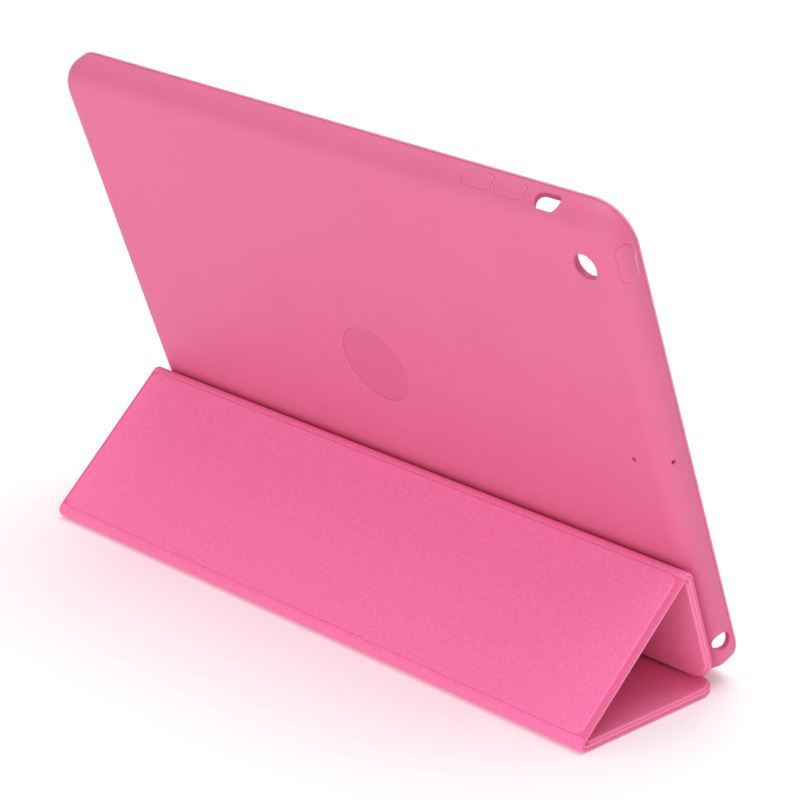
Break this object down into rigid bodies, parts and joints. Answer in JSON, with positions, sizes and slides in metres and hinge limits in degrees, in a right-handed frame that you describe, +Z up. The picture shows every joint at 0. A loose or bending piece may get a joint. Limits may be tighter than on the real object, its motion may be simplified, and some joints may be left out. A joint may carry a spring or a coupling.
{
  "type": "tablet folio case",
  "caption": "Leather-skinned tablet tray with a hinged, stiffened folding cover that makes a triangular stand behind it.",
  "frame": {"origin": "under the middle of the standing case, on the table", "axes": "+X along the tray's long side towards the camera opening, +Y towards the screen side, +Z up"},
  "size_m": [0.2452, 0.076, 0.1657],
  "materials": {
    "leather": "fine smooth pink leather, satin",
    "microfibre": "brushed pink microfibre, matt",
    "shell_plastic": "moulded pink polycarbonate",
    "board": "plain stiffener sheet",
    "magnet_steel": "nickel-plated"
  },
  "bodies": {
    "tray": {"back_leather": "leather", "back_shell": "shell_plastic", "floor_lining": "microfibre", "spine_anchor": "leather"},
    "power_button": {"power_button_cap": "leather", "power_button_plunger": "shell_plastic"},
    "volume_up_button": {"volume_up_cap": "leather", "volume_up_plunger": "shell_plastic"},
    "volume_down_button": {"volume_down_cap": "leather", "volume_down_plunger": "shell_plastic"},
    "spine": {"spine_leather": "leather", "spine_lining": "microfibre", "root_fold_leather": "leather"},
    "base_panel": {"base_panel_leather": "leather", "base_panel_lining": "microfibre", "base_panel_board": "board", "keeper_plate": "magnet_steel", "base_fold_leather": "leather", "base_fold_lining": "microfibre", "rear_fold_leather": "leather", "rear_fold_lining": "microfibre"},
    "rear_panel": {"rear_panel_leather": "leather", "rear_panel_lining": "microfibre", "rear_panel_board": "board", "top_fold_leather": "leather", "top_fold_lining": "microfibre"},
    "tip_panel": {"tip_panel_leather": "leather", "tip_panel_lining": "microfibre", "tip_panel_board": "board", "tip_magnet_1": "magnet_steel", "tip_magnet_2": "magnet_steel", "tip_magnet_3": "magnet_steel", "tip_magnet_4": "magnet_steel", "tip_magnet_5": "magnet_steel", "wake_magnet": "magnet_steel"}
  },
  "joints": [
    {"name": "power_press", "type": "slide", "parent": "tray", "child": "power_button", "axis": [-1, 0, 0], "range_m": [0, 0.0005], "stiffness_N_per_m": 400},
    {"name": "volume_up_press", "type": "slide", "parent": "tray", "child": "volume_up_button", "axis": [0, 0.373, -0.9278], "range_m": [0, 0.0005], "stiffness_N_per_m": 400},
    {"name": "volume_down_press", "type": "slide", "parent": "tray", "child": "volume_down_button", "axis": [0, 0.373, -0.9278], "range_m": [0, 0.0005], "stiffness_N_per_m": 400},
    {"name": "spine_hinge", "type": "hinge", "parent": "tray", "child": "spine", "pos_m": [0, 0.03415, 0.0006], "axis": [1, 0, 0], "range_deg": [0, 201.5], "deforming": ["root_fold_leather"]},
    {"name": "base_panel_hinge", "type": "hinge", "parent": "spine", "child": "base_panel", "pos_m": [0, 0.02805, 0.0006], "axis": [1, 0, 0], "range_deg": [0, 90], "deforming": ["base_fold_leather", "base_fold_lining"]},
    {"name": "stand_fold", "type": "hinge", "parent": "base_panel", "child": "rear_panel", "pos_m": [0, -0.0353, 0.003], "axis": [1, 0, 0], "range_deg": [0, 134], "deforming": ["rear_fold_leather", "rear_fold_lining"]},
    {"name": "tip_fold", "type": "hinge", "parent": "rear_panel", "child": "tip_panel", "pos_m": [0, 0.00712, 0.04256], "axis": [1, 0, 0], "range_deg": [-63, 0], "deforming": ["top_fold_leather", "top_fold_lining"]}
  ],
  "couplings": [
    {"joint": "tip_fold", "follows": "stand_fold", "ratio": -0.47}
  ]
}
